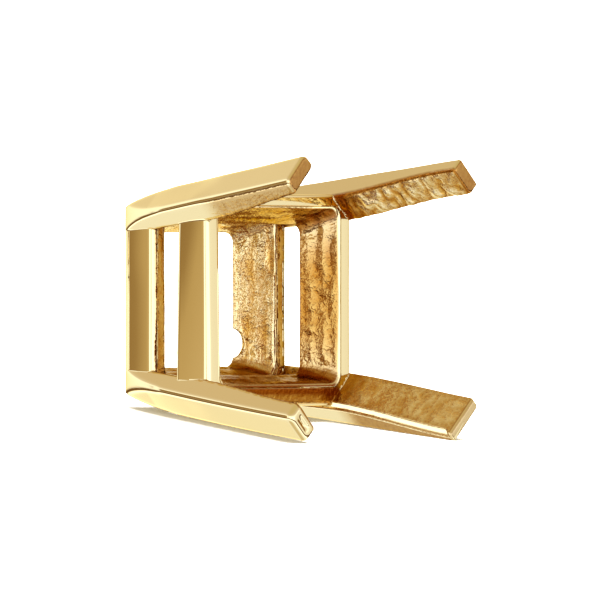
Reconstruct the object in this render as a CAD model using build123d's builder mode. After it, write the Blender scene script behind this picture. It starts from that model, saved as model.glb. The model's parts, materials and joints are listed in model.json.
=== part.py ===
"""Four-prong basket setting for a square cut-corner stone, cast in one piece.

The setting is drawn standing on its base: +Z runs along its axis from the base to the stone, +Y is the far side and
-X the upper side. Then it is laid on its side, as it rests by itself, on the outer edges of its two lower prongs.
Millimetres throughout.
"""

import math
import os

from build123d import *

# Overall
setting_height = 7.0
base_side = 5.11
rail_flare_deg = 5.3

# Gallery rails: two square frames, thick at the base side and thin at the stone side
lower_rail_height = 1.12
upper_rail_height = 1.0
rail_gap = 1.17
stone_side_wall = 0.48
base_side_wall = 0.91
base_side_cap_wall = 0.74
rail_corner_cut = 0.6
rail_inner_radius = 0.3
rail_edge_radius = 0.1

# Prongs: flat plates set across the corners, splayed outwards
prong_breadth = 1.02
prong_tip_thickness = 0.46
prong_stand_out = 0.387
prong_bury = 0.2
prong_splay_deg = 10.2
prong_tip_radius = 0.1

# Feet: height above the base, and how far the square outline that trims the prongs stands out from the rails' faces
foot_outline = [(0.0, -0.06), (0.4, 0.18), (1.15, 0.3), (2.9, 0.46), (setting_height, 0.8)]

# Casting flaw: a round nick in the inner base edge of the far lower rail
nick_radius = 0.4
nick_offset = 1.18
nick_drop = 0.2

upper_rail_level = lower_rail_height + rail_gap
upper_rail_top = upper_rail_level + upper_rail_height
flare = math.tan(math.radians(rail_flare_deg))
splay = math.tan(math.radians(prong_splay_deg))


def outer_side(level):
    """Width over the outer faces of the rails at a height above the base."""
    return base_side + 2 * flare * level


def corner_reach(level):
    """Distance from the axis to the rails' cut corners, along the diagonal, at a height above the base."""
    return (outer_side(level) - rail_corner_cut) / math.sqrt(2)


def prong_reach(level):
    """Distance from the axis to a prong's outer face, along the diagonal, at a height above the base."""
    return corner_reach(0.0) + prong_stand_out + splay * level


def rail_frame(bottom, height):
    """A square frame with cut corners, whose inner faces slope outwards towards the stone."""
    top = bottom + height
    with BuildPart() as rail:
        for level in (bottom, top):
            with BuildSketch(Plane.XY.offset(level)) as outline:
                Rectangle(outer_side(level), outer_side(level))
                chamfer(outline.vertices(), rail_corner_cut)
        loft(ruled=True)
        outer_edges = rail.faces().sort_by(Axis.Z)[0].edges() + rail.faces().sort_by(Axis.Z)[-1].edges()
        fillet(outer_edges, rail_edge_radius)
        with BuildSketch(Plane.XY.offset(bottom)):
            RectangleRounded(
                outer_side(bottom) - 2 * base_side_cap_wall,
                outer_side(bottom) - 2 * base_side_wall,
                rail_inner_radius,
            )
        with BuildSketch(Plane.XY.offset(top)):
            opening = outer_side(top) - 2 * stone_side_wall
            RectangleRounded(opening, opening, rail_inner_radius)
        loft(ruled=True, mode=Mode.SUBTRACT)
    return rail.part


def prong_plate():
    """One prong, drawn with its outer face towards +X. Its inner face lies in the rails' corners up to the upper rail's
    top, and from there it thins towards the tip."""
    with BuildPart() as plate:
        for level in (0.0, upper_rail_top, setting_height):
            outer = prong_reach(level)
            inner = corner_reach(level) - prong_bury
            if level == setting_height:
                inner = outer - prong_tip_thickness
            with BuildSketch(Plane.XY.offset(level)):
                with Locations(((outer + inner) / 2, 0)):
                    Rectangle(outer - inner, prong_breadth)
        loft(ruled=True)
        fillet(plate.faces().sort_by(Axis.Z)[-1].edges(), prong_tip_radius)
    return plate.part


with BuildPart() as prongs:
    with PolarLocations(0, 4, start_angle=45):
        add(prong_plate())
    with BuildPart(mode=Mode.INTERSECT):
        for level, stand_out in foot_outline:
            with BuildSketch(Plane.XY.offset(level)):
                Rectangle(outer_side(level) + 2 * stand_out, outer_side(level) + 2 * stand_out)
        loft(ruled=True)

with BuildPart() as basket:
    add(rail_frame(0.0, lower_rail_height))
    add(rail_frame(upper_rail_level, upper_rail_height))
    add(prongs.part)
    with Locations((nick_offset, base_side / 2 - base_side_wall, -nick_drop)):
        Sphere(nick_radius, mode=Mode.SUBTRACT)

# Laid down: the outer edges of the two lower prongs lie on the surface
side_splay_deg = math.degrees(math.atan(splay / math.sqrt(2)))
setting = Rot(0, 90 - side_splay_deg, 0) * basket.part
box = setting.bounding_box()
setting = Pos(-box.center().X, -box.center().Y, -box.min.Z) * setting
setting.label = "basket_setting"

os.makedirs("parts", exist_ok=True)
export_step(setting, "parts/basket_setting.step")
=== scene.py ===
"""The looks of a prong basket setting: one casting of yellow gold, bright outside and rough inside, on a pale floor.

The setting is drawn standing on its base, as it is made: Z runs along its axis from the base to the stone, Y is its
far side and -X its upper side. Its rails and prongs are closed surfaces, which are joined into one skin. Then it is
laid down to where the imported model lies. Lengths are in metres, and a level is a height above the base.
"""

import json
from typing import NamedTuple

import bpy
import numpy as np
from bpy.props import FloatProperty, FloatVectorProperty, PointerProperty
from mathutils import Matrix, Vector


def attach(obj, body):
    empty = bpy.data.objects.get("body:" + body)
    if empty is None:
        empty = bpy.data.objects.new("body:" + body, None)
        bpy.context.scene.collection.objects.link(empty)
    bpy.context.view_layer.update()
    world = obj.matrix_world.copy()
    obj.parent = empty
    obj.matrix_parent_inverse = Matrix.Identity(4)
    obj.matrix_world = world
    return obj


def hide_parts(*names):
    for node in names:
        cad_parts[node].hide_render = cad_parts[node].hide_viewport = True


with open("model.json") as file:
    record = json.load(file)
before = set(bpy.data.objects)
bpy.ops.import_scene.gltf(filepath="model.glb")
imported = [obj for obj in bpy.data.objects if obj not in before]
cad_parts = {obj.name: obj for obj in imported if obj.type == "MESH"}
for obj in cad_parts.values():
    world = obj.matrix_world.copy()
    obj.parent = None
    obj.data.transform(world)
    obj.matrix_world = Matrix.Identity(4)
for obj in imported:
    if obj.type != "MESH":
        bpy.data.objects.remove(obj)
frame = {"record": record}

bl_info = {
    "name": "Prong basket setting",
    "version": (1, 0, 0),
    "blender": (4, 5, 0),
    "location": "3D View > Sidebar > Setting",
    "description": "Casts a gold prong basket setting and lights it on a pale floor",
    "category": "Add Mesh",
}

MM = 0.001
CAD_NODE = "basket_setting"
# How finely edges and corners are rounded
EDGE_STEPS = 6
# Rows that close a prong's end, and what share of its outline the last of them has
CLOSING_ROWS = 7
CLOSING_SHARE = 0.02
# Cells along each side of the noise's lattice, after which it repeats
NOISE_PERIOD = 64
# What each point of the skin carries: how far it is as cast, how far oxide and painted shade darken it, and its height
# in the relief
CARRIED = ("as_cast", "oxide_and_shade", "relief")
# Grain that the plaster mould leaves. The real one is about 0.03 mm wide and wouldn't show, so it is drawn coarser
GRAIN_WIDTH = 0.1 * MM
GRAIN_HEIGHT = 0.02 * MM
# How far round a point the metal still shades it
RECESS_REACH = 1.6 * MM
# Slow change in the matt face of the floor's acrylic
CLOUD_WIDTH = 40 * MM
# Width of the camera's sensor, in the millimetres that Blender counts it in
SENSOR_WIDTH = 36
# Sockets of a Mix node that mixes colours
MIX_A, MIX_B, MIX_RESULT = 6, 7, 2


class Rail(NamedTuple):
    """What sets one gallery rail apart from the other, in millimetres and degrees."""

    lean: float          # how much further its near wall leans outwards
    twist: float         # how much more it does so towards its upper end
    base_edge: float     # rounding of the outer edge at its base side
    stone_edge: float    # rounding of the outer edge at its stone side
    drop: float          # how much further the base side of its near wall reaches
    streaks: float       # depth of the flow streaks inside, as a share of the usual
    lumps: float         # and of the lumps
    oxide_and_shade: float         # how much oxide and painted shade darken its faces


class Prong(NamedTuple):
    """What sets one prong apart from the others, in millimetres and degrees."""

    turn: float           # place round the axis, from +X towards +Y
    breadth: float
    tip_breadth: float
    skew: float           # how far its free end is turned about its own length
    reach: float          # how much further from the axis it stands
    drift: float          # how far its tip stands to the side
    bow: float            # how far it bulges outwards halfway
    tip_thickness: float  # what its taper thins it to
    tip_rise: float       # how far its tip stands past the setting's height
    tip_round: float      # rounding of its end
    dish: float           # how deep the middle of its end is
    taper: float          # length of its taper above the upper rail, which may end past its tip
    outer_edge: float     # rounding of its long edges outside
    inner_edge: float     # and inside
    side_cast: float      # how far the free ends of its narrow sides are as cast
    strip: float          # width of the filed strip beside its inner face, on the side that its turn comes from
    streaks: float        # depth of the ridges across its inner face, as a share of the usual streaks
    lumps: float          # and of the lumps
    tip_cast: float       # how far its end is as cast
    oxide_and_shade: float          # how much oxide and painted shade of the recess there darken its root


LOWER_RAIL = Rail(
    lean=-1.5, twist=0.0, base_edge=0.26, stone_edge=0.195, drop=0.1, streaks=1.1, lumps=0.6, oxide_and_shade=0.0)
UPPER_RAIL = Rail(
    lean=-5.2, twist=6.5, base_edge=0.1, stone_edge=0.13, drop=0.14, streaks=1.0, lumps=0.7, oxide_and_shade=0.44)
NEAR_UPPER_PRONG = Prong(
    turn=225, breadth=1.03, tip_breadth=1.05, skew=2.0, reach=0.0, drift=-0.13, bow=0.02, tip_thickness=0.42,
    tip_rise=0.0, tip_round=0.11, dish=0.0, taper=5.18, outer_edge=0.18, inner_edge=0.1, side_cast=0.6, strip=0.0,
    streaks=1.0, lumps=1.0, tip_cast=0.9, oxide_and_shade=0.3)
FAR_UPPER_PRONG = Prong(
    turn=135, breadth=0.97, tip_breadth=0.97, skew=0.0, reach=0.05, drift=0.0, bow=0.0, tip_thickness=0.44,
    tip_rise=0.08, tip_round=0.08, dish=0.0, taper=3.08, outer_edge=0.06, inner_edge=0.14, side_cast=0.0, strip=0.0,
    streaks=1.5, lumps=0.9, tip_cast=0.9, oxide_and_shade=1.0)
NEAR_LOWER_PRONG = Prong(
    turn=315, breadth=1.00, tip_breadth=1.00, skew=0.0, reach=0.0, drift=0.04, bow=0.05, tip_thickness=0.58,
    tip_rise=0.14, tip_round=0.17, dish=0.07, taper=3.64, outer_edge=0.16, inner_edge=0.1, side_cast=0.0, strip=0.0,
    streaks=1.0, lumps=1.0, tip_cast=0.0, oxide_and_shade=0.3)
FAR_LOWER_PRONG = Prong(
    turn=45, breadth=1.26, tip_breadth=1.38, skew=0.0, reach=-0.02, drift=0.07, bow=0.03, tip_thickness=0.3,
    tip_rise=0.0, tip_round=0.1, dish=0.0, taper=4.48, outer_edge=0.1, inner_edge=0.04, side_cast=0.8, strip=0.12,
    streaks=0.4, lumps=0.6, tip_cast=0.4, oxide_and_shade=0.5)
PRONGS = (NEAR_UPPER_PRONG, FAR_UPPER_PRONG, NEAR_LOWER_PRONG, FAR_LOWER_PRONG)


def linear(code):
    """An sRGB hex value as the linear colour that Blender works in."""
    srgb = np.array([int(code[i:i + 2], 16) for i in (1, 3, 5)]) / 255
    return tuple(np.where(srgb <= 0.04045, srgb / 12.92, ((srgb + 0.055) / 1.055) ** 2.4).tolist())


class SettingSizes(bpy.types.PropertyGroup):
    height: FloatProperty(name="Height", description="From the base to the tips", default=7.0 * MM, unit="LENGTH")
    base_side: FloatProperty(name="Base side", description="Width of the base", default=5.11 * MM, unit="LENGTH")
    flare: FloatProperty(name="Flare", description="Outward slope of the rails' outer faces", default=0.0928)
    lower_rail: FloatProperty(name="Lower rail", description="Its height", default=1.12 * MM, unit="LENGTH")
    rail_gap: FloatProperty(name="Gap", description="Between the two rails", default=1.17 * MM, unit="LENGTH")
    upper_rail: FloatProperty(name="Upper rail", description="Its height", default=1.0 * MM, unit="LENGTH")
    stone_wall: FloatProperty(
        name="Stone-side wall", description="Thickness of a rail at its stone side", default=0.48 * MM, unit="LENGTH")
    base_wall: FloatProperty(
        name="Base-side wall", description="Thickness of the near and far walls", default=0.91 * MM, unit="LENGTH")
    base_cap_wall: FloatProperty(
        name="Cap wall", description="Thickness of the upper and lower walls", default=0.74 * MM, unit="LENGTH")
    stone_top_wall: FloatProperty(
        name="Stone-side top wall", description="Thickness of the upper wall at the stone side", default=0.37 * MM,
        unit="LENGTH")
    stone_low_wall: FloatProperty(
        name="Stone-side low wall", description="Thickness of the lowest wall at the stone side", default=0.58 * MM,
        unit="LENGTH")
    rail_crown: FloatProperty(
        name="Crown", description="How far a rail's outer face bulges", default=0.03 * MM, unit="LENGTH")
    face_crown: FloatProperty(
        name="Face crown", description="How far a rail's stone-side face bulges", default=0.01 * MM, unit="LENGTH")
    rail_corner: FloatProperty(
        name="Rail corner", description="Radius of a rail's outer corners", default=0.45 * MM, unit="LENGTH")
    opening_corner: FloatProperty(
        name="Opening corner", description="Radius of the opening's corners", default=0.3 * MM, unit="LENGTH")
    inner_edge: FloatProperty(
        name="Inner edge", description="Rounding of the opening's edges", default=0.06 * MM, unit="LENGTH")
    prong_reach: FloatProperty(
        name="Prong reach", description="From the axis to a prong's face at the base", default=3.576 * MM,
        unit="LENGTH")
    prong_splay: FloatProperty(name="Splay", description="Outward slope of the prongs", default=0.18)
    prong_root: FloatProperty(
        name="Root", description="Thickness of a prong at the upper rail", default=0.75 * MM, unit="LENGTH")
    prong_foot: FloatProperty(
        name="Foot", description="Thickness of a prong at the base", default=0.587 * MM, unit="LENGTH")
    strip_turn: FloatProperty(
        name="Strip turn", description="From a prong's narrow side to the filed strip", default=np.radians(28),
        subtype="ANGLE")
    strip_ledge: FloatProperty(
        name="Strip ledge", description="Depth of the ledge beside the filed strip", default=0.08 * MM, unit="LENGTH")
    foot_length: FloatProperty(
        name="Foot length", description="How high the rounded foot goes up a prong", default=2.9 * MM, unit="LENGTH")
    foot_stand_out: FloatProperty(
        name="Foot stand-out", description="How far the foot's outline moves outwards", default=0.52 * MM,
        unit="LENGTH")
    foot_inset: FloatProperty(
        name="Foot inset", description="How far the foot lies inside the rail at the base", default=0.12 * MM,
        unit="LENGTH")
    foot_softness: FloatProperty(
        name="Foot softness", description="How softly the foot's outline bends", default=0.03 * MM, unit="LENGTH")
    nick_radius: FloatProperty(
        name="Nick", description="Radius of the nick in the base", default=0.4 * MM, unit="LENGTH")
    nick_offset: FloatProperty(
        name="Nick offset", description="From the middle of the far rail down", default=1.18 * MM, unit="LENGTH")
    nick_drop: FloatProperty(
        name="Nick drop", description="How far its middle lies below the base", default=0.05 * MM, unit="LENGTH")


class CastingSkin(bpy.types.PropertyGroup):
    pitch: FloatProperty(name="Pitch", description="Spacing of the skin's points", default=0.06 * MM, unit="LENGTH")
    streak_depth: FloatProperty(
        name="Streaks", description="Depth of the flow streaks inside", default=0.04 * MM, unit="LENGTH")
    streak_width: FloatProperty(
        name="Streak width", description="Spacing of the streaks", default=0.17 * MM, unit="LENGTH")
    streak_length: FloatProperty(
        name="Streak length", description="Length of the streaks", default=1.3 * MM, unit="LENGTH")
    lump_depth: FloatProperty(
        name="Lumps", description="Depth of the lumps inside", default=0.025 * MM, unit="LENGTH")
    lump_width: FloatProperty(name="Lump width", description="Spacing of the lumps", default=0.2 * MM, unit="LENGTH")
    ripple_depth: FloatProperty(
        name="Ripples", description="Unevenness that polishing leaves", default=0.007 * MM, unit="LENGTH")
    ripple_width: FloatProperty(
        name="Ripple width", description="Spacing of the ripples", default=1.3 * MM, unit="LENGTH")


class GoldFinish(bpy.types.PropertyGroup):
    bright: FloatVectorProperty(
        name="Bright", description="Polished gold", default=linear("#F6E7B6"), subtype="COLOR", min=0, max=1)
    rough: FloatVectorProperty(
        name="Rough", description="Crests of the cast skin", default=linear("#FAEBBB"), subtype="COLOR", min=0, max=1)
    hollow: FloatVectorProperty(
        name="Hollow", description="Hollows of the cast skin", default=linear("#D6A852"), subtype="COLOR", min=0,
        max=1)
    # The two oxide colours also paint the shade of the recesses, through the ramp that darkens the cast skin
    thin_oxide_and_shade: FloatVectorProperty(
        name="Thin oxide and shade", description="What it leaves of the colour", default=linear("#CDAB66"), subtype="COLOR",
        min=0, max=1)
    thick_oxide_and_shade: FloatVectorProperty(
        name="Thick oxide and shade", description="The same in the recesses", default=linear("#9A5A1E"), subtype="COLOR", min=0,
        max=1)
    edge: FloatVectorProperty(
        name="Edge tint", description="Of the metal seen at a low angle", default=linear("#F2DCA6"), subtype="COLOR",
        min=0, max=1)
    bright_roughness: FloatProperty(
        name="Bright roughness", description="Of polished gold", default=0.07, min=0, max=1)
    rough_roughness: FloatProperty(name="Cast roughness", description="Of gold as cast", default=0.16, min=0, max=1)


class StageSizes(bpy.types.PropertyGroup):
    yaw: FloatProperty(
        name="Yaw", description="Camera's turn from square on to the near side", default=np.radians(42.8),
        subtype="ANGLE")
    distance: FloatProperty(
        name="Distance", description="From the camera to the setting", default=269 * MM, unit="LENGTH")
    frame_width: FloatProperty(
        name="Frame width", description="What the camera sees at the setting", default=16.14 * MM, unit="LENGTH")
    frame_shift: FloatProperty(
        name="Frame shift", description="From the setting's middle to the frame's", default=0.406 * MM, unit="LENGTH")
    floor: FloatVectorProperty(
        name="Floor", description="Matt white acrylic", default=linear("#F7F7F5"), subtype="COLOR", min=0, max=1)
    floor_width: FloatProperty(name="Floor width", description="Side of the floor", default=2.4, unit="LENGTH")
    softbox_side: FloatProperty(name="Softbox", description="Side of the softbox", default=0.5, unit="LENGTH")
    softbox_power: FloatProperty(name="Softbox power", description="Its light", default=12.0, unit="POWER")
    softbox_place: FloatVectorProperty(
        name="Softbox place", description="Of its middle, above the floor", default=(-0.1, 0.1, 0.6),
        subtype="TRANSLATION", unit="LENGTH")


def smooth_step(value, low, high):
    """0 below low, 1 above high, and 3t^2 - 2t^3 between them."""
    t = np.clip((value - low) / (high - low), 0, 1)
    return t * t * (3 - 2 * t)


def fade(value, low, high):
    """1 below low, 0 above high, and the same smooth way down between them."""
    return smooth_step(-value, -high, -low)


def noise(points, pitch, seed):
    """Smooth noise from -1 to 1: random values on a lattice whose cells are pitch long in X, Y and Z, and between them
    the eight values around a point, weighted by 3t^2 - 2t^3 along each side of its cell."""
    lattice = np.random.default_rng(seed).uniform(-1, 1, (NOISE_PERIOD,) * 3)
    place = points / np.asarray(pitch)
    cell = np.floor(place).astype(int)
    t = smooth_step(place - cell, 0, 1)
    total = np.zeros(len(points))
    for corner in np.ndindex(2, 2, 2):
        near = (cell + corner) % NOISE_PERIOD
        total += np.prod(np.where(corner, t, 1 - t), axis=1) * lattice[near[:, 0], near[:, 1], near[:, 2]]
    return total


def rounded(corners, radii):
    """A closed outline with its corners rounded. Each corner C gives way to a parabola from A, one radius before it, to
    B, one radius after it: (1 - t)^2 A + 2t (1 - t) C + t^2 B."""
    corners = np.asarray(corners, float)
    before = np.roll(corners, 1, axis=0) - corners
    after = np.roll(corners, -1, axis=0) - corners
    radii = np.asarray(radii)[:, None]
    start = corners + radii * before / np.linalg.norm(before, axis=1, keepdims=True)
    end = corners + radii * after / np.linalg.norm(after, axis=1, keepdims=True)
    t = np.linspace(0, 1, EDGE_STEPS + 1)[:, None]
    outline = (1 - t) ** 2 * start[:, None] + 2 * t * (1 - t) * corners[:, None] + t ** 2 * end[:, None]
    return outline.reshape(-1, 2)


def filled(rows, pitch):
    """A closed row of points, or of whole lines of points, with more of them put evenly between any two that are more
    than a pitch apart."""
    loop = np.concatenate([rows, rows[:1]])
    gaps = np.linalg.norm(np.diff(loop, axis=0), axis=-1).reshape(len(rows), -1).max(axis=1)
    counts = np.maximum(np.ceil(gaps / pitch), 1).astype(int)
    index = np.repeat(np.arange(len(rows)), counts)
    t = (np.arange(len(index)) - np.repeat(np.cumsum(counts) - counts, counts)) / counts[index]
    t = t.reshape(-1, *[1] * (rows.ndim - 1))
    return (1 - t) * loop[index] + t * loop[index + 1]


def round_corners():
    """Round a rectangle with rounded corners: which corner each place belongs to, as signs, and the cosine and sine of
    its turn round that corner."""
    corner = np.repeat(np.arange(4), EDGE_STEPS)
    turn = corner * np.pi / 2 + np.tile(np.linspace(0, np.pi / 2, EDGE_STEPS), 4)
    sides = np.array([(1, 1), (-1, 1), (-1, -1), (1, -1)])[corner]
    return sides[:, 0], sides[:, 1], np.cos(turn), np.sin(turn)


def grid_faces(rows, columns, close_rows):
    """The faces of a grid whose columns close on themselves, as its rows may: two triangles between any four
    neighbours, and a cap of many corners on each end of open rows."""
    row = np.arange(rows if close_rows else rows - 1)[:, None]
    column = np.arange(columns)[None, :]
    next_row, next_column = (row + 1) % rows, (column + 1) % columns
    corners = (row * columns + column, row * columns + next_column,
               next_row * columns + next_column, next_row * columns + column)
    quads = np.stack([np.broadcast_to(c, (len(row), columns)) for c in corners], axis=-1).reshape(-1, 4)
    triangles = np.concatenate([quads[:, [0, 1, 2]], quads[:, [0, 2, 3]]]).tolist()
    if close_rows:
        return triangles
    last = (rows - 1) * columns
    return triangles + [list(range(columns))[::-1], list(range(last, last + columns))]


def rail_levels(sizes):
    """The level where the lower rail ends, and those where the upper rail starts and ends."""
    gap_end = sizes.lower_rail + sizes.rail_gap
    return sizes.lower_rail, gap_end, gap_end + sizes.upper_rail


def half_width(sizes, level):
    """Half the width over the rails' outer faces: half the base's side plus the flare times the level."""
    return sizes.base_side / 2 + sizes.flare * level


def reach_down(drop, y, half, share):
    """How much further down the base edge reaches: the drop on the near side, fading to nothing towards the far side
    and as the share of the way up comes to 1."""
    return drop * MM * fade(y / half, -0.8, 0.8) * np.clip(1 - share, 0, 1)


def rail_surface(sizes, rail, bottom, height, pitch):
    """A gallery rail: the cross-section of its wall carried round a square with rounded corners. The two parameters are
    the place on the cross-section and the place round the square. A point's distance from the axis is half the rail's
    width at its level, less its depth in the wall. Lean and twist then shear the near wall: y falls by the level above
    the rail's middle times the tangent of lean - twist * x / half."""
    stone_wall, edge = sizes.stone_wall, sizes.inner_edge
    # The outer face is crowned at half its height, and the stone-side face a little past its middle
    corners = [(0, 0), (height / 2, -sizes.rail_crown), (height, 0), (height + sizes.face_crown, 0.6 * stone_wall),
               (height, stone_wall), (0, sizes.base_wall)]
    radii = [rail.base_edge * MM, 0.3 * height, rail.stone_edge * MM, 0.3 * stone_wall, edge, edge]
    level, depth = filled(rounded(corners, radii), pitch).T[:, :, None]
    share = level / height
    half = half_width(sizes, bottom + level)
    inside = np.clip(depth / (sizes.base_wall * (1 - share) + stone_wall * share), 0, 1)
    radius = sizes.rail_corner * (1 - inside) + sizes.opening_corner * inside
    side_x, side_y, cosine, sine = round_corners()
    # The upper and lower walls have a thickness of their own
    base_cap = sizes.base_cap_wall / sizes.base_wall
    stone_cap = np.where(side_x > 0, sizes.stone_low_wall, sizes.stone_top_wall) / stone_wall
    cap_depth = depth * (base_cap * (1 - share) + stone_cap * share)
    x = side_x * (half - cap_depth - radius) + radius * cosine
    y = side_y * (half - depth - radius) + radius * sine
    lean = np.radians(rail.lean - rail.twist * x / half)
    y = y - fade(y / half, -0.8, 0.5) * (level - height / 2) * np.tan(lean)
    z = bottom + level - reach_down(rail.drop, y, half, share)
    lines = np.stack([x, y, z], axis=-1).transpose(1, 0, 2)
    points = filled(lines, pitch).transpose(1, 0, 2)
    return points.reshape(-1, 3), grid_faces(*points.shape[:2], close_rows=True)


def prong_rows(sizes, prong, pitch):
    """The rows of a prong's skin, up its shaft, over its rounded end and in to the end's middle: their levels, how far
    the rounding has drawn each one in, as 1 - cos t, and what share of the outline is left. The end's middle is lower
    by dish times (1 - share^2)^2."""
    round_off = prong.tip_round * MM
    end_level = sizes.height + prong.tip_rise * MM
    shaft = np.linspace(0, end_level - round_off, int(end_level / pitch))[:, None]
    over = np.linspace(0, np.pi / 2, EDGE_STEPS + 2)[1:, None]
    closing = np.linspace(1, CLOSING_SHARE, CLOSING_ROWS + 1)[1:, None]
    dish = prong.dish * MM * (1 - closing ** 2) ** 2
    level = np.concatenate([shaft, end_level - round_off * (1 - np.sin(over)), end_level - dish])
    drawn_in = np.concatenate([0 * shaft, 1 - np.cos(over), 0 * closing + 1])
    share = np.concatenate([0 * shaft + 1, 0 * over + 1, closing])
    return level, drawn_in, share


def strip_corner(sizes, prong):
    """The corner of a prong's outline that is filed: the inner face's rounded edge, the strip, which is turned from the
    narrow side by strip_turn, and the ledge from there to that side. It is given as how far its points lie below the
    inner face, and how far in from the narrow side."""
    edge, ledge, strip = prong.inner_edge * MM, sizes.strip_ledge, prong.strip * MM
    along = np.array([0, 0.15, 0.85, 1]) * strip
    ledge_end = edge + strip * np.cos(sizes.strip_turn) + 0.35 * ledge
    inner = ledge + strip * np.sin(sizes.strip_turn)
    below = np.hstack([0, 0.3 * edge, edge + along * np.cos(sizes.strip_turn), ledge_end, ledge_end + 0.3 * edge])
    aside = np.hstack([inner + edge, inner + 0.3 * edge, inner - along * np.sin(sizes.strip_turn), 0, 0])
    return below, aside


def prong_outline(sizes, prong, level, share, half_thickness, half_breadth):
    """A rounded rectangle for each row of a prong, as how far outwards and how far across its points lie. Where one
    inner corner is filed, that runs out just below the prong's end."""
    side_out, side_across, cosine, sine = round_corners()
    radius = np.where(side_out > 0, prong.outer_edge, prong.inner_edge) * MM
    # Where the end closes, its corners shrink too
    radius = np.minimum(radius, 0.8 * np.minimum(half_thickness, half_breadth))
    outward = side_out * (half_thickness - radius) + radius * cosine
    across = side_across * (half_breadth - radius) + radius * sine
    if prong.strip:
        # It takes the place of the third corner, the inner one on the side that the turn comes from
        below, aside = strip_corner(sizes, prong)
        end_level = sizes.height + prong.tip_rise * MM
        aside = aside * fade(level, end_level - 0.2 * MM, end_level - 0.04 * MM)
        before, after = 2 * EDGE_STEPS, 3 * EDGE_STEPS
        outward = np.hstack([outward[:, :before], -half_thickness + below * share, outward[:, after:]])
        across = np.hstack([across[:, :before], -half_breadth + aside * share, across[:, after:]])
    return outward, across


def soft_limit(value, limit, softness):
    """The value kept between -limit and limit, by limit - k ln(1 + e^((limit - |value|) / k)), which bends smoothly."""
    room = (limit - abs(value)) / softness
    return np.sign(value) * (limit - softness * np.logaddexp(0, room))


def foot_limit(sizes, level):
    """How far from the axis the prongs may reach along X and along Y, which trims their feet to a rounded square. It is
    the rails' half width, less the inset, plus (1 - (1 - s)^2)^0.6 of the stand-out, s being the share of the foot's
    length. Past half of that length a second smooth stand-out lets the prongs go."""
    foot = np.clip(level / sizes.foot_length, 0, 1)
    limit = half_width(sizes, level) - sizes.foot_inset + sizes.foot_stand_out * (1 - (1 - foot) ** 2) ** 0.6
    return limit + sizes.foot_stand_out * smooth_step(foot, 0.5, 1)


def prong_surface(sizes, prong, pitch):
    """A prong: its outline carried from foot to tip and over its end. The two parameters are the place on the outline
    and the level. Its outer face leans outwards by the splay, and bulges by bow times 4s(1 - s), s being the share of
    the setting's height. The drift grows by s^2, and the skew comes in where the upper rail ends."""
    level, drawn_in, closing = prong_rows(sizes, prong, pitch)
    rail_top = rail_levels(sizes)[2]
    tip, round_off = prong.tip_thickness * MM, prong.tip_round * MM
    thickness = np.interp(level, [0, rail_top], [sizes.prong_foot, sizes.prong_root])
    thickness += (tip - sizes.prong_root) * smooth_step(level, rail_top, rail_top + prong.taper * MM)
    widening = (prong.tip_breadth - prong.breadth) * MM
    breadth = prong.breadth * MM + widening * smooth_step(level, rail_top, sizes.height)
    half_thickness = (thickness / 2 - drawn_in * np.minimum(round_off, 0.45 * thickness)) * closing
    half_breadth = (breadth / 2 - drawn_in * round_off) * closing
    outline = np.stack(prong_outline(sizes, prong, level, closing, half_thickness, half_breadth), axis=-1)
    outward, across = filled(outline.transpose(1, 0, 2), pitch).transpose(2, 1, 0)
    share = level / sizes.height
    skew, angle = np.radians(prong.skew) * smooth_step(share, 0.42, 0.56), np.radians(prong.turn)
    bulge = prong.bow * MM * 4 * share * (1 - share)
    outer = sizes.prong_reach + prong.reach * MM + sizes.prong_splay * level + bulge
    radial = outer - thickness / 2 + outward * np.cos(skew) - across * np.sin(skew)
    lateral = prong.drift * MM * share ** 2 + outward * np.sin(skew) + across * np.cos(skew)
    plan = np.stack([radial * np.cos(angle) - lateral * np.sin(angle),
                     radial * np.sin(angle) + lateral * np.cos(angle)], axis=-1)
    plan = soft_limit(plan, foot_limit(sizes, level)[:, :, None], sizes.foot_softness)
    z = level - reach_down(LOWER_RAIL.drop, plan[:, :, 1], sizes.base_side / 2, level / sizes.lower_rail)
    points = np.dstack([plan, z])
    return points.reshape(-1, 3), grid_faces(*points.shape[:2], close_rows=False)


def pressed_by_ball(points, centre, radius):
    """The points that lie in a ball, moved straight out from its centre to its surface."""
    offset = points - centre
    distance = np.linalg.norm(offset, axis=1, keepdims=True)
    return np.where(distance < radius, centre + offset * radius / np.maximum(distance, 1e-9), points)


def read_vertices(mesh):
    """The mesh's points and their normals, as arrays."""
    points = np.empty(len(mesh.vertices) * 3, np.float32)
    normals = np.empty_like(points)
    mesh.vertices.foreach_get("co", points)
    mesh.vertex_normals.foreach_get("vector", normals)
    return points.reshape(-1, 3).astype(float), normals.reshape(-1, 3).astype(float)


def out_and_across(prong, vectors):
    """The parts of vectors that point outwards along a prong's turn, and across it."""
    angle = np.radians(prong.turn)
    x, y = vectors[:, 0], vectors[:, 1]
    return x * np.cos(angle) + y * np.sin(angle), y * np.cos(angle) - x * np.sin(angle)


def edge_distance(sizes, points, prong):
    """How far each point is from an edge that stays crisp: a prong's long edges and its tip, or a rail's rims. The
    lower rail's rim in the gap isn't one, because it is as rough as the faces beside it."""
    level = points[:, 2]
    if prong:
        across = out_and_across(prong, points)[1] - prong.drift * MM * (level / sizes.height) ** 2
        side = prong.breadth * MM / 2 - np.where(across < 0, prong.strip * MM, 0)
        return np.minimum(side - abs(across), sizes.height + prong.tip_rise * MM - level)
    rims = np.array([0, *rail_levels(sizes)[1:]])
    return abs(level[:, None] - rims).min(axis=1)


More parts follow.
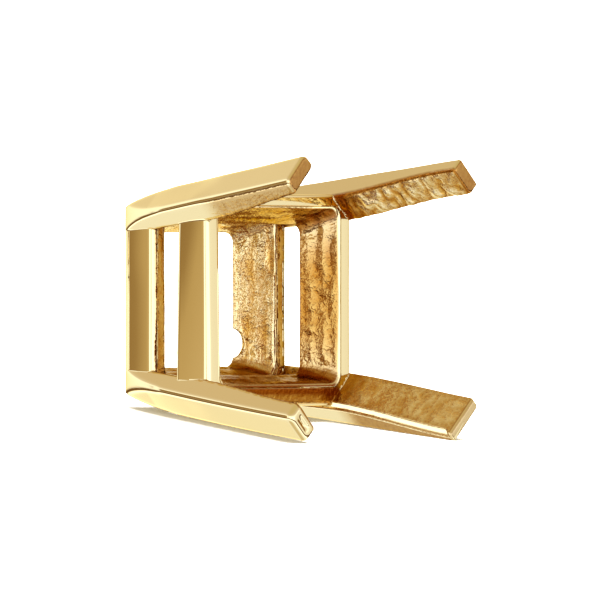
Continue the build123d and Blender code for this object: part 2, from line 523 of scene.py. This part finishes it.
def prong_finish(sizes, prong, points, normals, edge):
    """How far a prong's points are as cast, and how far oxide and painted shade darken them, from 0 to 1. Its inner
    face is as cast, but less so where the polisher's wheel reaches it through the gap between the rails. So is its end,
    and so may be the free ends of its narrow sides. Oxide stays on its end, along its edges and where it is as cast. At
    its root the darkening is oxide and painted shade of the recess there, and on the rounded rim beside its inner face
    it is a painted dark reflection."""
    level = points[:, 2]
    lower_top, gap_end, rail_top = rail_levels(sizes)
    out, across = out_and_across(prong, normals)
    # The filed strip is bright, though it faces inwards a little
    start = 0.6 if prong.strip else 0.15
    inward = smooth_step(-out, start, start + 0.3)
    rim = smooth_step(-out, start, start + 0.25) * fade(-out, 0.8, 0.97)
    in_gap = smooth_step(level, lower_top, 1.2 * lower_top) * fade(level, 0.9 * gap_end, gap_end)
    narrow_side = prong.side_cast * smooth_step(abs(across), 0.9, 0.96)
    narrow_side = narrow_side * smooth_step(level, rail_top, rail_top + 0.8 * MM)
    end = np.where(level > 0.9 * sizes.height, smooth_step(normals[:, 2], 0.6, 0.9), 0)
    rough = np.maximum.reduce([inward * (1 - 0.8 * in_gap), prong.tip_cast * end, narrow_side])
    # Painted shade of the recess at the root, and a painted dark reflection on the rim, go in with the oxide
    root = fade(level, rail_top + 0.2 * MM, rail_top + 0.9 * MM)
    along_edges = fade(edge, 0.06 * MM, 0.22 * MM)
    oxide_and_shade = [prong.oxide_and_shade * root, 0.7 * end, 0.15 * along_edges, 0.9 * narrow_side, 0.8 * rim]
    return rough, np.maximum.reduce(oxide_and_shade)


def rail_finish(sizes, rail, points, normals):
    """The same for a rail's points. Its inner faces and its faces in the gap are as cast, and so is the stone-side
    face of the wall that lies lowest. Oxide and painted shade darken its corners, the gap and that wall, save near its
    outer face: the shade that falls in these recesses is painted into the colour."""
    level, up, half = points[:, 2], normals[:, 2], sizes.base_side / 2
    lower_top, gap_end, rail_top = rail_levels(sizes)
    radial = points[:, :2] / np.linalg.norm(points[:, :2], axis=1, keepdims=True)
    inward = smooth_step(-(normals[:, :2] * radial).sum(axis=1), 0.5, 0.85)
    by_gap = (level > lower_top / 2) & (level < gap_end + sizes.upper_rail / 2)
    in_gap = np.where(by_gap, smooth_step(abs(up), 0.8, 0.97), 0)
    between_corners = smooth_step(abs(points[:, 0]) - abs(points[:, 1]), -0.1 * MM, 0.1 * MM)
    lowest = smooth_step(points[:, 0] / half, 0.6, 0.75) * between_corners
    rough = np.maximum.reduce([inward, in_gap, lowest * smooth_step(up, 0.7, 0.97)])
    # Painted shade: the corners, the gap and the lowest wall's recess are darkened, on top of the rail's own oxide
    corner = smooth_step(abs(points[:, :2]).min(axis=1) / half, 0.55, 0.85)
    within = smooth_step(half_width(sizes, level) - points[:, 0], 0.2 * MM, 0.45 * MM)
    return rough, np.clip(rail.oxide_and_shade + 0.35 * corner + 0.5 * in_gap + 0.9 * lowest * within, 0, 1)


def cast_relief(sizes, skin, points, rough, edge, own):
    """Height of the skin's relief at each point: streaks along the rails, and ridges across the prongs, where the wax
    was drawn from its mould, with lumps between them, all shallower near edges. Where the skin is polished, it has the
    polisher's slow ripples instead."""
    thin, long = skin.streak_width, skin.streak_length
    rail_top = rail_levels(sizes)[2]
    on_prong = smooth_step(points[:, 2], rail_top - 0.1 * MM, rail_top + 0.1 * MM)
    on_side = smooth_step(abs(points[:, 1]) - abs(points[:, 0]), -0.2 * MM, 0.2 * MM)
    streaks = on_prong * noise(points, (1.7 * thin, 1.7 * thin, 0.6 * thin), 1)
    streaks += (1 - on_prong) * on_side * noise(points, (long, thin, thin), 2)
    streaks += (1 - on_prong) * (1 - on_side) * noise(points, (thin, long, thin), 3)
    lumps = noise(points, (skin.lump_width,) * 3, 4)
    ripples = noise(points, (skin.ripple_width,) * 3, 5)
    # A quarter of it stays at the edges
    held = 0.25 + 0.75 * smooth_step(edge, 0.03 * MM, 0.22 * MM)
    cast = held * (skin.streak_depth * own.streaks * streaks + skin.lump_depth * own.lumps * lumps)
    return rough * cast + (1 - rough) * skin.ripple_depth * ripples


def shell(sizes, skin, surface, rail=None, prong=None):
    """A surface with its relief, as an object in millimetres, because metres are too coarse for joining. What its
    points carry starts at 1, so that 0 stays free for points that the joining adds."""
    points, faces = surface
    mesh = bpy.data.meshes.new("shell")
    mesh.from_pydata(points.tolist(), [], faces)
    points, normals = read_vertices(mesh)
    edge = edge_distance(sizes, points, prong)
    if prong:
        rough, oxide_and_shade = prong_finish(sizes, prong, points, normals, edge)
    else:
        rough, oxide_and_shade = rail_finish(sizes, rail, points, normals)
    relief = cast_relief(sizes, skin, points, rough, edge, prong or rail)
    mesh.vertices.foreach_set("co", ((points + normals * relief[:, None]) / MM).astype(np.float32).ravel())
    height = np.clip(0.5 + 0.5 * relief / (skin.streak_depth + skin.lump_depth), 0, 1)
    for name, values in zip(CARRIED, (rough, oxide_and_shade, height)):
        mesh.attributes.new(name, "FLOAT", "POINT").data.foreach_set("value", (1 + values).astype(np.float32))
    mesh.update()
    return bpy.data.objects.new("shell", mesh)


def fill_joins(mesh):
    """Gives each point that the joining added, and which so carries 0, the mean of what its neighbours carry."""
    edges = np.empty(2 * len(mesh.edges), np.int32)
    mesh.edges.foreach_get("vertices", edges)
    edges = edges.reshape(-1, 2)
    for name in CARRIED:
        values = np.empty(len(mesh.vertices), np.float32)
        mesh.attributes[name].data.foreach_get("value", values)
        known = values > 0
        total, count = np.zeros(len(values)), np.zeros(len(values))
        for start, end in (edges.T, edges.T[::-1]):
            np.add.at(total, start, values[end] * known[end])
            np.add.at(count, start, known[end])
        values = np.where(known, values, total / np.maximum(count, 1))
        mesh.attributes[name].data.foreach_set("value", values.astype(np.float32))


def fused_mesh(shells):
    """One closed skin around all the shells, as the metal of a casting is all one. The shells are used up."""
    group = bpy.data.collections.new("shells")
    for part in shells[1:]:
        group.objects.link(part)
    fuse = shells[0].modifiers.new("fuse", "BOOLEAN")
    fuse.operation, fuse.operand_type, fuse.solver = "UNION", "COLLECTION", "MANIFOLD"
    fuse.collection = group
    bpy.context.scene.collection.objects.link(shells[0])
    mesh = bpy.data.meshes.new_from_object(shells[0].evaluated_get(bpy.context.evaluated_depsgraph_get()))
    for part in shells:
        own = part.data
        bpy.data.objects.remove(part)
        bpy.data.meshes.remove(own)
    bpy.data.collections.remove(group)
    mesh.transform(Matrix.Scale(MM, 4))
    mesh.name = "casting"
    mesh.materials.clear()
    fill_joins(mesh)
    return mesh


def lying_frame():
    """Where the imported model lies: the middle of its base, its axis towards the stone, its far side, and the side that
    is up."""
    base = next(mount for mount in frame["record"]["mounts"] if mount["name"] == "base")
    axis = -np.array(base["axis"])
    origin = np.array([base["pos_m"][0], 0.0, base["pos_m"][2]])
    far = np.array([0.0, 1.0, 0.0])
    return origin, axis, far, np.cross(axis, far)


def laid_down(points):
    """Points of the standing setting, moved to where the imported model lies, and none of them below the floor."""
    origin, axis, far, up = lying_frame()
    laid = origin - points[:, :1] * up + points[:, 1:2] * far + points[:, 2:] * axis
    laid[:, 2] = np.maximum(laid[:, 2], 0)
    return laid


def add_node(tree, kind, settings=None, links=None):
    """Adds a node. Settings are values of its own or of its inputs, and links are where its inputs come from. An
    input goes by its name, or by its number where others have the same name."""
    node = tree.nodes.new(kind)
    for name, value in (settings or {}).items():
        if isinstance(name, int) or name in node.inputs:
            node.inputs[name].default_value = value
        else:
            setattr(node, name, value)
    for name, source in (links or {}).items():
        tree.links.new(source, node.inputs[name])
    return node


def set_ramp(ramp, stops):
    """Fills a colour ramp from pairs of place and colour."""
    elements = ramp.color_ramp.elements
    while len(elements) < len(stops):
        elements.new(1.0)
    for element, (place, colour) in zip(elements, stops):
        element.position, element.color = place, (*colour, 1)


def new_material(name):
    """An empty material, with its tree and its output."""
    material = bpy.data.materials.new(name)
    material.use_nodes = True
    material.node_tree.nodes.clear()
    return material, material.node_tree, material.node_tree.nodes.new("ShaderNodeOutputMaterial")


def cast_gold(finish):
    """Yellow gold, cast by lost wax and then tumbled and wheel-polished outside. The eye sees soft bright planes
    outside, and a pitted skin inside, whose crests the tumbling has burnished and whose hollows keep a deeper, browner
    colour. Recesses are also darkened and browned in the colour as painted shade, on top of the oxide that the casting
    keeps."""
    material, tree, output = new_material("cast_yellow_gold")
    place = add_node(tree, "ShaderNodeTexCoord").outputs["Object"]
    as_cast, oxide_and_shade, relief = (
        add_node(tree, "ShaderNodeMapRange", {"From Min": 1.0, "From Max": 2.0}, {
            "Value": add_node(tree, "ShaderNodeAttribute", {"attribute_name": name}).outputs["Fac"]}).outputs[0]
        for name in CARRIED)
    grain = add_node(
        tree, "ShaderNodeTexNoise", {"Scale": 1 / GRAIN_WIDTH, "Detail": 2.0, "Roughness": 0.55},
        {"Vector": place}).outputs["Fac"]
    # Crests of the cast grain are paler than its hollows
    height = add_node(tree, "ShaderNodeMath", {"operation": "MULTIPLY_ADD", 1: 0.5}, {0: grain, 2: relief})
    crest = add_node(
        tree, "ShaderNodeMapRange", {"interpolation_type": "SMOOTHSTEP", "From Min": 0.5, "From Max": 1.0},
        {"Value": height.outputs[0]})
    skin = add_node(
        tree, "ShaderNodeMix", {"data_type": "RGBA", MIX_A: (*finish.hollow, 1), MIX_B: (*finish.rough, 1)},
        {"Factor": crest.outputs[0]})
    # Painted shade: recesses are darkened and browned in the colour by ambient occlusion, standing in for light that
    # has met the metal many times there
    shade = add_node(
        tree, "ShaderNodeAmbientOcclusion", {"samples": 8, "only_local": True, "Distance": RECESS_REACH})
    depth = add_node(
        tree, "ShaderNodeMapRange", {"interpolation_type": "SMOOTHSTEP", "From Min": 0.75, "From Max": 0.1},
        {"Value": shade.outputs["AO"]})
    # The larger of the painted recess shade and the carried oxide and painted shade sets how dark a tint multiplies the
    # skin
    shade_and_oxide = add_node(tree, "ShaderNodeMath", {"operation": "MAXIMUM"}, {0: depth.outputs[0], 1: oxide_and_shade})
    shade_and_oxide_tint = add_node(tree, "ShaderNodeValToRGB", {}, {"Fac": shade_and_oxide.outputs[0]})
    set_ramp(shade_and_oxide_tint, [(0.0, (1, 1, 1)), (0.5, finish.thin_oxide_and_shade), (1.0, finish.thick_oxide_and_shade)])
    inside = add_node(
        tree, "ShaderNodeMix", {"data_type": "RGBA", "blend_type": "MULTIPLY", "Factor": 1.0},
        {MIX_A: skin.outputs[MIX_RESULT], MIX_B: shade_and_oxide_tint.outputs[0]})
    colour = add_node(
        tree, "ShaderNodeMix", {"data_type": "RGBA", MIX_A: (*finish.bright, 1)},
        {"Factor": as_cast, MIX_B: inside.outputs[MIX_RESULT]})
    roughness = add_node(
        tree, "ShaderNodeMapRange", {"To Min": finish.bright_roughness, "To Max": finish.rough_roughness},
        {"Value": as_cast})
    grain_height = add_node(tree, "ShaderNodeMath", {"operation": "MULTIPLY"}, {0: grain, 1: as_cast})
    bump = add_node(
        tree, "ShaderNodeBump", {"Strength": 1.0, "Distance": GRAIN_HEIGHT}, {"Height": grain_height.outputs[0]})
    gold = add_node(
        tree, "ShaderNodeBsdfPrincipled", {"Metallic": 1.0, "Specular Tint": (*finish.edge, 1)},
        {"Base Color": colour.outputs[MIX_RESULT], "Roughness": roughness.outputs[0], "Normal": bump.outputs[0]})
    tree.links.new(gold.outputs[0], output.inputs["Surface"])
    return material


def white_acrylic(colour):
    """Sheet acrylic with a matt face, cast on glass. The eye sees an even white with no gloss."""
    material, tree, output = new_material("matt_white_acrylic")
    place = add_node(tree, "ShaderNodeTexCoord").outputs["Object"]
    cloud = add_node(tree, "ShaderNodeTexNoise", {"Scale": 1 / CLOUD_WIDTH}, {"Vector": place})
    roughness = add_node(tree, "ShaderNodeMapRange", {"To Min": 0.75, "To Max": 0.85}, {"Value": cloud.outputs["Fac"]})
    sheet = add_node(
        tree, "ShaderNodeBsdfPrincipled", {"Base Color": (*colour, 1), "Specular IOR Level": 0.0},
        {"Roughness": roughness.outputs[0]})
    tree.links.new(sheet.outputs[0], output.inputs["Surface"])
    return material


# What stands round the setting at its own height: degrees from -X, colour and strength
WALLS = (
    (0, "#FFFFFF", 1.0), (26, "#FFFFFF", 1.0), (29, "#96764A", 1.0), (38, "#A48658", 1.0), (45, "#C4A878", 1.0),
    (62, "#D2B88C", 1.0), (70, "#FFFFFF", 1.6), (90, "#FFFFFF", 1.6), (92.5, "#94744A", 1.0), (97.5, "#94744A", 1.0),
    (100, "#FFFFFF", 1.6), (192, "#FFFFFF", 1.8), (200, "#FFFFFF", 1.1), (290, "#D8C8AC", 1.0),
    (320, "#FFFFFF", 1.0), (360, "#FFFFFF", 1.0),
)
# Where the walls show, by those degrees and by 1 plus the sine of the height, halved
WALLS_ACROSS = ((0, 0.0), (23, 0.0), (27, 1.0), (320, 1.0), (330, 0.0))
WALLS_UPRIGHT = ((0.39, 0.0), (0.43, 1.0), (0.6, 1.0), (0.64, 0.0))
# What shows elsewhere, from straight down to straight up: the table, its lit rim and its brown edge, and the dome
UPRIGHT = (
    (0.0, "#DCCBA8", 1.0), (0.05, "#DCCBA8", 1.0), (0.075, "#FFFFFF", 1.0), (0.185, "#FFFFFF", 1.05),
    (0.21, "#FFFFFF", 1.9), (0.25, "#FFFFFF", 1.9), (0.3, "#7A5A34", 1.0), (0.39, "#7A5A34", 1.0),
    (0.43, "#FFFFFF", 1.3), (0.67, "#FFFFFF", 1.3), (0.72, "#F0E6DC", 1.0), (0.81, "#DCC9B0", 1.0),
    (0.9, "#D6C49E", 1.0), (1.0, "#D2BE90", 1.0),
)


def lit(code, strength):
    """An sRGB hex value as linear light of a strength."""
    return tuple(strength * part for part in linear(code))


def patch(tree, turn, rise, across, upright):
    """How much a direction belongs to a patch of the room, by its place round it and its height."""
    factors = []
    for source, stops in ((turn, [(place / 360, value) for place, value in across]), (rise, upright)):
        ramp = add_node(tree, "ShaderNodeValToRGB", {}, {"Fac": source})
        set_ramp(ramp, [(place, (value,) * 3) for place, value in stops])
        factors.append(ramp.outputs[0])
    return add_node(tree, "ShaderNodeMath", {"operation": "MULTIPLY"}, {0: factors[0], 1: factors[1]}).outputs[0]


def soft_room():
    """The light of a white tent, for the polished planes to mirror: the table's white below the horizon with its brown
    edge, the walls round it, and a dome that grows dimmer and warmer upwards. The camera itself sees plain white past
    the floor's far end."""
    world = bpy.data.worlds.new("soft_room")
    world.use_nodes = True
    tree = world.node_tree
    tree.nodes.clear()
    direction = add_node(tree, "ShaderNodeTexCoord").outputs["Generated"]
    parts = add_node(tree, "ShaderNodeSeparateXYZ", {}, {"Vector": direction}).outputs
    azimuth = add_node(tree, "ShaderNodeMath", {"operation": "ARCTAN2"}, {0: parts["Y"], 1: parts["X"]})
    turn = add_node(
        tree, "ShaderNodeMapRange", {"From Min": -np.pi, "From Max": np.pi}, {"Value": azimuth.outputs[0]}).outputs[0]
    rise = add_node(tree, "ShaderNodeMapRange", {"From Min": -1.0, "From Max": 1.0}, {"Value": parts["Z"]}).outputs[0]
    walls = add_node(tree, "ShaderNodeValToRGB", {}, {"Fac": turn})
    set_ramp(walls, [(place / 360, lit(code, strength)) for place, code, strength in WALLS])
    upright = add_node(tree, "ShaderNodeValToRGB", {}, {"Fac": rise})
    set_ramp(upright, [(place, lit(code, strength)) for place, code, strength in UPRIGHT])
    room = add_node(
        tree, "ShaderNodeMix", {"data_type": "RGBA"},
        {"Factor": patch(tree, turn, rise, WALLS_ACROSS, WALLS_UPRIGHT), MIX_A: upright.outputs[0],
         MIX_B: walls.outputs[0]})
    seen = add_node(
        tree, "ShaderNodeMix", {"data_type": "RGBA", MIX_B: (1, 1, 1, 1)},
        {"Factor": add_node(tree, "ShaderNodeLightPath").outputs["Is Camera Ray"], MIX_A: room.outputs[MIX_RESULT]})
    light = add_node(tree, "ShaderNodeBackground", {"Strength": 1.0}, {"Color": seen.outputs[MIX_RESULT]})
    add_node(tree, "ShaderNodeOutputWorld", {}, {"Surface": light.outputs[0]})
    return world


def lay_floor(scene, stage):
    """A flat square sheet, kept out of the gold's mirrorings, which show the room's own table."""
    half = stage.floor_width / 2
    mesh = bpy.data.meshes.new("floor")
    mesh.from_pydata([(-half, -half, 0), (half, -half, 0), (half, half, 0), (-half, half, 0)], [], [(0, 1, 2, 3)])
    mesh.materials.append(white_acrylic(stage.floor))
    floor = bpy.data.objects.new("floor", mesh)
    scene.collection.objects.link(floor)
    floor.visible_glossy = False


def hang_softbox(scene, stage):
    """A square softbox over the setting, which gives the floor its soft shadow and isn't mirrored in the gold."""
    lamp = bpy.data.lights.new("overhead_softbox", "AREA")
    lamp.shape = "SQUARE"
    lamp.size = stage.softbox_side
    lamp.energy = stage.softbox_power
    softbox = bpy.data.objects.new("overhead_softbox", lamp)
    softbox.location = stage.softbox_place
    softbox.visible_glossy = False
    softbox.rotation_euler = Vector(stage.softbox_place).to_track_quat("Z", "Y").to_euler()
    scene.collection.objects.link(softbox)


def set_camera(scene, stage, height):
    """The camera, turned from the setting's own near side, so that its frame is square to the setting's axis."""
    origin, axis, far, up = lying_frame()
    right = np.cos(stage.yaw) * axis + np.sin(stage.yaw) * far
    back = np.sin(stage.yaw) * axis - np.cos(stage.yaw) * far
    aim = origin + axis * height / 2 + right * stage.frame_shift
    lens = bpy.data.cameras.new("camera")
    lens.sensor_width = SENSOR_WIDTH
    lens.lens = SENSOR_WIDTH * stage.distance / stage.frame_width
    lens.clip_start = 10 * MM
    camera = bpy.data.objects.new("camera", lens)
    camera.matrix_world = Matrix(np.column_stack([right, up, back]).tolist()).to_4x4()
    camera.location = aim + back * stage.distance
    scene.collection.objects.link(camera)
    scene.camera = camera


class SETTING_OT_casting(bpy.types.Operator):
    """Make the cast setting in place of its CAD solid"""

    bl_idname = "setting.casting"
    bl_label = "Make the casting"

    def execute(self, context):
        sizes, skin = context.scene.setting_sizes, context.scene.casting_skin
        points, faces = rail_surface(sizes, LOWER_RAIL, 0.0, sizes.lower_rail, skin.pitch)
        nick = np.array([sizes.nick_offset, sizes.base_side / 2 - sizes.base_wall, -sizes.nick_drop])
        lower = (pressed_by_ball(points, nick, sizes.nick_radius), faces)
        upper = rail_surface(sizes, UPPER_RAIL, rail_levels(sizes)[1], sizes.upper_rail, skin.pitch)
        shells = [shell(sizes, skin, lower, rail=LOWER_RAIL), shell(sizes, skin, upper, rail=UPPER_RAIL)]
        shells += [shell(sizes, skin, prong_surface(sizes, prong, skin.pitch), prong=prong) for prong in PRONGS]
        mesh = fused_mesh(shells)
        points = read_vertices(mesh)[0]
        mesh.vertices.foreach_set("co", laid_down(points).astype(np.float32).ravel())
        mesh.update()
        mesh.polygons.foreach_set("use_smooth", np.ones(len(mesh.polygons), bool))
        mesh.materials.append(cast_gold(context.scene.gold_finish))
        casting = bpy.data.objects.new("casting", mesh)
        context.scene.collection.objects.link(casting)
        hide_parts(CAD_NODE)
        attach(casting, "root")
        return {"FINISHED"}


class SETTING_OT_stage(bpy.types.Operator):
    """Make the floor, the lights and the camera"""

    bl_idname = "setting.stage"
    bl_label = "Make the stage"

    def execute(self, context):
        scene, stage = context.scene, context.scene.stage_sizes
        lay_floor(scene, stage)
        hang_softbox(scene, stage)
        set_camera(scene, stage, scene.setting_sizes.height)
        scene.world = soft_room()
        scene.view_settings.view_transform = "Standard"
        return {"FINISHED"}


class SETTING_PT_panel(bpy.types.Panel):
    """The setting's steps and sizes"""

    bl_idname = "SETTING_PT_panel"
    bl_label = "Prong basket setting"
    bl_space_type = "VIEW_3D"
    bl_region_type = "UI"
    bl_category = "Setting"

    def draw(self, context):
        for group, kind in GROUPS.items():
            box = self.layout.box()
            for name in kind.__annotations__:
                box.prop(getattr(context.scene, group), name)
        for step in STEPS:
            self.layout.operator(step.bl_idname)


GROUPS = {
    "setting_sizes": SettingSizes,
    "casting_skin": CastingSkin,
    "gold_finish": GoldFinish,
    "stage_sizes": StageSizes,
}
STEPS = (SETTING_OT_casting, SETTING_OT_stage)


def register():
    for group, kind in GROUPS.items():
        bpy.utils.register_class(kind)
        setattr(bpy.types.Scene, group, PointerProperty(type=kind))
    for kind in (*STEPS, SETTING_PT_panel):
        bpy.utils.register_class(kind)


def unregister():
    for kind in (SETTING_PT_panel, *reversed(STEPS)):
        bpy.utils.unregister_class(kind)
    for group, kind in reversed(GROUPS.items()):
        delattr(bpy.types.Scene, group)
        bpy.utils.unregister_class(kind)


def main():
    """Makes everything in order."""
    register()
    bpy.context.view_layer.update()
    bpy.ops.setting.casting()
    bpy.ops.setting.stage()


if __name__ == "__main__":
    main()
